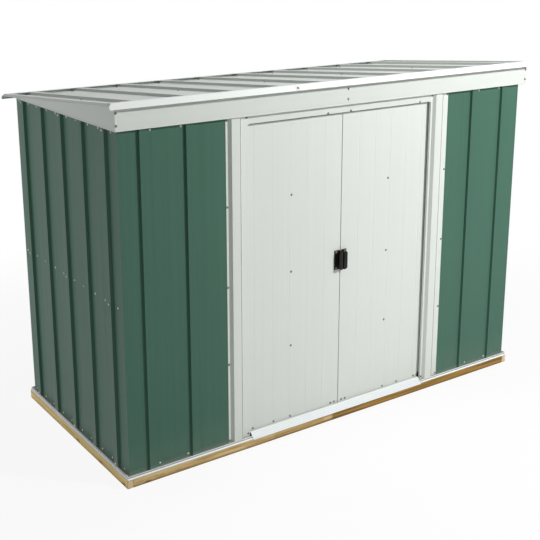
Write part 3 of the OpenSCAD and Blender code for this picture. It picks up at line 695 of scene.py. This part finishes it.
fascia_hems()
gable_hems()
roof_laps()
jamb_edges()
header_shade_line()
trim_lap()
door_edges("left_door", -1)
door_edges("right_door", 1)
door_guide()
rail_folds()
ramp_ridges()
ramp_end_shades()

# Screws: rings of radius and height for the washer and the pan head, and the cross recess in the head
SCREW_SIDES = 16
WASHER_RINGS = [(0.0058, 0.0), (0.0058, 0.0007), (0.0050, 0.0013), (0.0041, 0.0014)]
HEAD_RINGS = [(0.0041, 0.0022), (0.0034, 0.0033), (0.0027, 0.0037)]
CROSS_HALF, CROSS_ARM, CROSS_FLOOR = 0.00045, 0.0019, 0.0026
WASHER_FACES = (len(WASHER_RINGS) - 1) * SCREW_SIDES


def screw_shape():
    """A screw with its washer, standing on z = 0: points and faces, those of the washer first."""
    n = SCREW_SIDES
    rings = WASHER_RINGS + HEAD_RINGS
    circle = [(math.cos(2 * math.pi * i / n), math.sin(2 * math.pi * i / n)) for i in range(n)]
    points = [(r * c, r * s, z) for r, z in rings for c, s in circle]
    faces = []
    for k in range(len(rings) - 1):
        for i in range(n):
            j = (i + 1) % n
            faces.append((k * n + i, k * n + j, (k + 1) * n + j, (k + 1) * n + i))
    # Outline of the cross, three points a quarter, at the top of the head and again on the recess's floor
    quarters = [(1, 0), (0, 1), (-1, 0), (0, -1)]
    outline = [(CROSS_ARM, -CROSS_HALF), (CROSS_ARM, CROSS_HALF), (CROSS_HALF, CROSS_HALF)]
    ring = (len(rings) - 1) * n
    base = len(points)
    below = len(quarters) * len(outline)
    for z in (HEAD_RINGS[-1][1], CROSS_FLOOR):
        points += [(a * c - b * s, a * s + b * c, z) for c, s in quarters for a, b in outline]
    # Faces of each quarter: the head's top round the cross, the recess's walls and the floor of its arm
    for q in range(4):
        right, left, notch = base + 3 * q, base + 3 * q + 1, base + 3 * q + 2
        following = base + 3 * ((q + 1) % 4)
        before = base + 3 * ((q + 3) % 4) + 2
        rim = [ring + (4 * q + i) % n for i in range(5)]
        faces.append((right, rim[0], left))
        faces.append((left, rim[0], rim[1], notch))
        faces.append((notch, rim[1], rim[2]))
        faces.append((notch, rim[2], rim[3], following))
        faces.append((following, rim[3], rim[4]))
        for a, b in ((right, left), (left, notch), (notch, following)):
            faces.append((a, b, b + below, a + below))
        faces.append((right + below, left + below, notch + below, before + below))
    faces.append(tuple(base + below + 3 * q + 2 for q in range(4)))
    return points, faces


SCREW_POINTS, SCREW_FACES = screw_shape()
ON_WHITE = (dull_screw, grey_washer)
ON_GREEN = (bright_screw, pale_washer)


def screws(name, body, spots, looks):
    """One piece with a screw at each (place, outward direction); looks are those of head and washer."""
    rng = random.Random(name)
    points = []
    faces = []
    for place, out in spots:
        facing = out.to_track_quat("Z", "Y").to_matrix().to_4x4()
        turn = Matrix.Rotation(rng.uniform(0, math.pi), 4, "Z")
        where = Matrix.Translation(place) @ (facing @ turn)
        start = len(points)
        points += [where @ Vector(p) for p in SCREW_POINTS]
        faces += [tuple(start + i for i in f) for f in SCREW_FACES]
    mesh = bpy.data.meshes.new(name)
    mesh.from_pydata(points, [], faces)
    mesh.validate()
    piece(name, mesh, body, looks)
    for i, poly in enumerate(mesh.polygons):
        poly.material_index = 1 if i % len(SCREW_FACES) < WASHER_FACES else 0
    shade(mesh, sharp_angle=45)


def at(x, y, z):
    """A place given from the front wall's flats and the top of the rails."""
    return Vector((x, Y_FRONT + y, Z_RAIL + z))


# Heights of the screw rows on the side and rear walls: at the rail, the brace and the top
WALL_ROWS = (0.010, 0.780, 1.551)


def side_wall_screws(name, s):
    """Screws beside each rib, and on the face of every other rib."""
    beside, corner_room = (-0.066, 0.056), 0.02
    out = Vector((s, 0, 0))
    spots = []
    for z in WALL_ROWS:
        for i in range(SIDE_RIBS):
            rib = SIDE_RIB_FIRST + RIB_PITCH * i
            for off in beside:
                if corner_room < rib + off < DEPTH - corner_room:
                    spots.append((at(s * X_SIDE, rib + off, z), out))
            if i % 2 == 0:
                spots.append((at(s * (X_SIDE + RIB), rib, z), out))
    screws(name, "shed", spots, ON_GREEN)


def rear_wall_screws():
    """Screws beside each rib, and on the face of every other rib."""
    beside, corner_room = (-0.06, 0.06), 0.01
    spots = []
    for z in WALL_ROWS:
        for i in range(REAR_RIBS):
            rib = (i - (REAR_RIBS - 1) / 2) * RIB_PITCH
            for off in beside:
                if abs(rib + off) < X_SIDE - corner_room:
                    spots.append((at(rib + off, DEPTH, z), Y))
            if i % 2 == 1:
                spots.append((at(rib, DEPTH + RIB, z), Y))
    screws("rear_wall_screws", "shed", spots, ON_GREEN)


def front_wall_screws():
    """Screws at the foot and top of the green front panels."""
    across, rows = (-1.047, -0.899, 0.899, 1.049), (0.014, 1.553)
    spots = [(at(x, 0.0, z), FRONT) for x in across for z in rows]
    screws("front_wall_screws", "shed", spots, ON_GREEN)


def front_screws():
    """Screws of the jambs' flanges, the fascia's ends and joint, the header and the trims' joint."""
    on_hem, header_drop = 0.0010, 0.0362
    lap_share, lap_middle, lap_rise = 0.45, 0.0098, 0.0011
    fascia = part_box("fascia_left")[0].y - Y_FRONT
    # Each group's places along the front, its depth from the wall's flats and its heights above the rails
    groups = [
        ((-0.6695, 0.6680), -SHEET, (0.010, 0.400, 0.780, 1.160, 1.553)),
        ((-0.5640, 0.5630), -SHEET, (0.016, 1.555)),
        ((-1.2155, 1.2155), fascia - on_hem, (1.590, 1.642)),
        ((-0.008,), fascia, (1.592, 1.640)),
        ((-0.104, 0.034, 0.480), -SHEET, (Z_TOP - Z_RAIL - header_drop,)),
    ]
    spots = [(at(x, y, z), FRONT) for across, y, rows in groups for x in across for z in rows]
    lap = TRIM_TIP.lerp(TRIM_BROW, lap_share) + X * lap_middle + TRIM_OUT * lap_rise
    spots.append((lap, TRIM_OUT))
    screws("front_screws", "shed", spots, ON_WHITE)


def roof_screws():
    """Screws beside the roof's ribs: by turns before and behind the beam, and at every rib near the trims."""
    ribs = range(ROOF_RIBS)
    # Each row's place from the front, its place from the rib's middle, and the ribs that have it
    rows = [
        (0.435, -0.042, ribs[::2]),
        (0.615, 0.056, ribs[1::2]),
        (0.040, 0.070, ribs),
        (1.045, -0.060, ribs),
    ]
    up = Vector((0, ROOF_SLOPE, 1)).normalized()
    spots = []
    for i in ribs:
        rib = (i - (ROOF_RIBS - 1) / 2) * ROOF_RIB_PITCH
        for from_front, off, fixed in rows:
            if i in fixed:
                y = Y_FRONT + from_front
                spots.append((Vector((rib + off, y, roof_z(y))), up))
    screws("roof_screws", "shed", spots, ON_WHITE)


def door_screws(body, s):
    """Screws of a door's braces, foot and handle; s is the side it opens to."""
    brace_x, brace_rows = 0.300, (0.4005, 0.780, 1.1595)
    foot_across, foot_row = (0.0235, 0.0475, 0.302, 0.402, 0.525, 0.548), 0.0235
    handle_x, handle_inset, handle_plate = 0.0275, 0.0085, 0.0025
    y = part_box("left_door_leaf")[0].y
    handle_lo, handle_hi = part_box("right_door_handle")
    handle_rows = (handle_lo.z + handle_inset, handle_hi.z - handle_inset)
    spots = [(Vector((s * brace_x, y, Z_RAIL + z)), FRONT) for z in brace_rows]
    spots += [(Vector((s * x, y, Z_RAIL + foot_row)), FRONT) for x in foot_across]
    spots += [(Vector((s * handle_x, y - handle_plate, z)), FRONT) for z in handle_rows]
    screws(body + "_screws", body, spots, ON_WHITE)


side_wall_screws("left_wall_screws", -1)
side_wall_screws("right_wall_screws", 1)
rear_wall_screws()
front_wall_screws()
front_screws()
roof_screws()
door_screws("left_door", -1)
door_screws("right_door", 1)

# Stage: pale floor, white surroundings and soft studio lamps
BACKDROP = (1, 1, 1, 1)
FLOOR_COLOUR = (0.86, 0.86, 0.86, 1)
FLOOR_RADIUS = 40.0
# Over these distances from the middle, the floor fades from its shadows to the white of the surroundings
FADE_NEAR, FADE_FAR, FADE_LEAST = 1.6, 3.4, 0.9
WORLD_LIGHT = 0.22


def backdrop_share(tree, share):
    """The share, for rays from the camera, a reflection or glass, and none for light that falls on things."""
    ray = add_node(tree, "ShaderNodeLightPath").outputs
    seen = ray["Is Camera Ray"]
    for kind in ("Is Glossy Ray", "Is Transmission Ray"):
        either = add_node(tree, "ShaderNodeMath", operation="MAXIMUM")
        put(tree, either.inputs[0], seen)
        put(tree, either.inputs[1], ray[kind])
        seen = either.outputs[0]
    part = add_node(tree, "ShaderNodeMath", operation="MULTIPLY")
    put(tree, part.inputs[0], seen)
    put(tree, part.inputs[1], share)
    return part.outputs[0]


def mixed_surface(tree, share, plain, shown, output):
    """Ends a node tree with a mix of two shaders, the second by its share."""
    blend = add_node(tree, "ShaderNodeMixShader")
    for i, source in enumerate((share, plain.outputs[0], shown.outputs[0])):
        put(tree, blend.inputs[i], source)
    put(tree, add_node(tree, output).inputs["Surface"], blend.outputs[0])


def empty_tree(owner):
    """The cleared node tree of a material or world."""
    owner.use_nodes = True
    owner.node_tree.nodes.clear()
    return owner.node_tree


def floor_look():
    """Matt paint that the camera sees fade into the surroundings."""
    mat = bpy.data.materials.new("studio_floor")
    tree = empty_tree(mat)
    paint = add_node(tree, "ShaderNodeBsdfDiffuse")
    paint.inputs["Color"].default_value = FLOOR_COLOUR
    glow = add_node(tree, "ShaderNodeEmission")
    glow.inputs["Color"].default_value = BACKDROP
    glow.inputs["Strength"].default_value = 1.0
    reach = add_node(tree, "ShaderNodeVectorMath", operation="LENGTH")
    put(tree, reach.inputs[0], add_node(tree, "ShaderNodeTexCoord").outputs["Object"])
    fade = add_node(tree, "ShaderNodeMapRange", interpolation_type="SMOOTHSTEP")
    for i, v in enumerate((reach.outputs["Value"], FADE_NEAR, FADE_FAR, FADE_LEAST, 1.0)):
        put(tree, fade.inputs[i], v)
    mixed_surface(tree, backdrop_share(tree, fade.outputs[0]), paint, glow, "ShaderNodeOutputMaterial")
    return mat


def make_floor():
    """The round floor that the shed stands on."""
    bm = bmesh.new()
    bmesh.ops.create_circle(bm, cap_ends=True, segments=64, radius=FLOOR_RADIUS)
    mesh = bpy.data.meshes.new("floor")
    bm.to_mesh(mesh)
    bm.free()
    mesh.materials.append(floor_look())
    floor = bpy.data.objects.new("floor", mesh)
    scene.collection.objects.link(floor)


def make_world():
    """White surroundings, which light the shed more weakly than they are seen."""
    scene.world = bpy.data.worlds.new("studio")
    tree = empty_tree(scene.world)
    shaders = []
    for strength in (WORLD_LIGHT, 1.0):
        shader = add_node(tree, "ShaderNodeBackground")
        shader.inputs["Color"].default_value = BACKDROP
        shader.inputs["Strength"].default_value = strength
        shaders.append(shader)
    mixed_surface(tree, backdrop_share(tree, 1.0), *shaders, "ShaderNodeOutputWorld")


def lamp(name, place, aim, size, watts, glints=True):
    """A square area lamp; one without glints isn't seen in reflections."""
    data = bpy.data.lights.new(name, "AREA")
    data.shape = "RECTANGLE"
    data.size = size
    data.size_y = size
    data.energy = watts
    obj = bpy.data.objects.new(name, data)
    obj.location = place
    obj.rotation_mode = "QUATERNION"
    obj.rotation_quaternion = (Vector(aim) - Vector(place)).to_track_quat("-Z", "Y")
    obj.visible_glossy = glints
    scene.collection.objects.link(obj)


make_floor()
make_world()
lamp("key", place=(1.9, -3.6, 3.15), aim=(0.0, -0.5, 0.85), size=0.3, watts=143)
lamp("side", place=(-4.2, 2.6, 1.1), aim=(-1.4, 0.0, 0.4), size=0.7, watts=40, glints=False)
lamp("top", place=(1.2, -0.3, 4.8), aim=(0.0, 0.0, 1.7), size=0.8, watts=52)

# Camera: fitted to the photograph's view, with a small downward shift of the frame
AZIMUTH, ELEVATION = math.radians(34.908), math.radians(14.706)
view = bpy.data.cameras.new("camera")
view.lens = 66.426
view.sensor_width = 36.0
view.shift_y = -0.13
camera = bpy.data.objects.new("camera", view)
camera.location = (-2.9736, -4.1718, 2.3813)
camera.rotation_euler = (math.pi / 2 - ELEVATION, 0.0, -AZIMUTH)
scene.collection.objects.link(camera)
scene.camera = camera
scene.view_settings.view_transform = "Standard"
